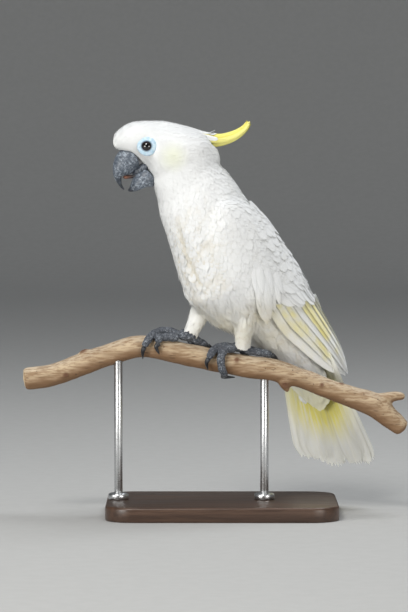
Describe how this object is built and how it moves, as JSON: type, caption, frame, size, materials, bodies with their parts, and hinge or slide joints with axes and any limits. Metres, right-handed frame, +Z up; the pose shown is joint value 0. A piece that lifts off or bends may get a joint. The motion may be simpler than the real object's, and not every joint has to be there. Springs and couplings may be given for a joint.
{
  "type": "sulphur-crested cockatoo",
  "caption": "Life-size white cockatoo with a yellow crest gripping a cut length of branch, held over a flat wooden base by slim steel rods",
  "frame": {"origin": "the middle of the underside of the stand's base", "axes": "+X runs along the perch towards the side of the bird's tail, +Y points away from the side the bird's left flank faces, +Z is up; the bird's body faces between -X and -Y"},
  "size_m": [0.4196, 0.2038, 0.4265],
  "materials": {
    "plumage": "soft white feathers with fine barbs",
    "crest_yellow": "soft lemon-yellow feathers",
    "bill_horn": "slate-grey horn with pale powder",
    "claw_horn": "polished black horn",
    "scaled_skin": "blue-grey granular scales",
    "bare_skin": "pale blue wrinkled skin",
    "eye": "wet dark brown eye",
    "tongue": "dark moist skin with a red-brown tip",
    "perch_wood": "bare weathered branch",
    "stand_wood": "dark satin hardwood",
    "steel": "brushed"
  },
  "bodies": {
    "root": {"head": "plumage", "neck": "plumage", "trunk": "plumage", "crest_front": "plumage", "crest_yellow": "crest_yellow", "bill_upper": "bill_horn", "bill_lower": "bill_horn", "tongue": "tongue", "tail": "plumage", "eye_left": "eye", "eye_ring_left": "bare_skin", "wing_left_coverts": "plumage", "wing_left_flight_feathers": "plumage", "leg_left": "plumage", "foot_left": "scaled_skin", "toe_left_inner_front": "scaled_skin", "claw_left_inner_front": "claw_horn", "toe_left_outer_front": "scaled_skin", "claw_left_outer_front": "claw_horn", "toe_left_outer_back": "scaled_skin", "claw_left_outer_back": "claw_horn", "toe_left_inner_back": "scaled_skin", "claw_left_inner_back": "claw_horn", "eye_right": "eye", "eye_ring_right": "bare_skin", "wing_right_coverts": "plumage", "wing_right_flight_feathers": "plumage", "leg_right": "plumage", "foot_right": "scaled_skin", "toe_right_outer_front": "scaled_skin", "claw_right_outer_front": "claw_horn", "toe_right_inner_front": "scaled_skin", "claw_right_inner_front": "claw_horn", "toe_right_inner_back": "scaled_skin", "claw_right_inner_back": "claw_horn", "toe_right_outer_back": "scaled_skin", "claw_right_outer_back": "claw_horn", "perch": "perch_wood", "stand_base": "stand_wood", "stand_rod_1": "steel", "stand_collar_1": "steel", "stand_rod_2": "steel", "stand_collar_2": "steel"}
  },
  "joints": []
}
